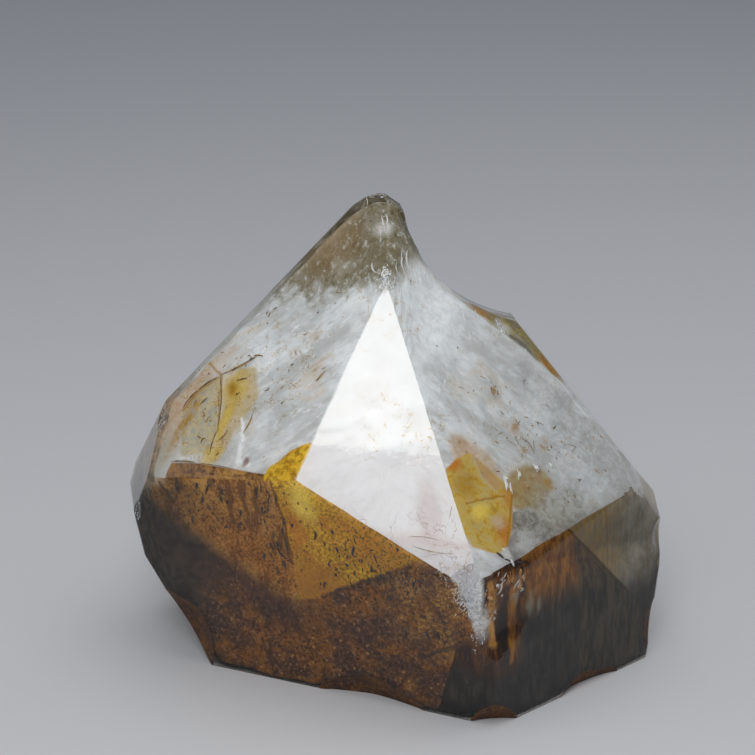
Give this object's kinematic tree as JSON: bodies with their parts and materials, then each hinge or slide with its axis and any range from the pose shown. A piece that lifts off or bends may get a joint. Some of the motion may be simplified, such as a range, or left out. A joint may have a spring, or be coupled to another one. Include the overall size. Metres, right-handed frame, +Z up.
{
  "type": "quartz crystal",
  "caption": "Stout natural quartz point with a diamond window face, a worn tip and a shell fracture beside it, cut flat at the base to stand.",
  "frame": {"origin": "on the flat base, below the heart of the crystal that its faces are measured from", "axes": "+Z up towards the tip, -Y out of the front, where the window face looks"},
  "size_m": [0.1532, 0.1196, 0.1317],
  "materials": {
    "quartz": "glassy faces over milky, iron-stained quartz, worn at the arrises and rough low on the front"
  },
  "bodies": {
    "root": {"quartz_crystal": "quartz"}
  },
  "joints": []
}
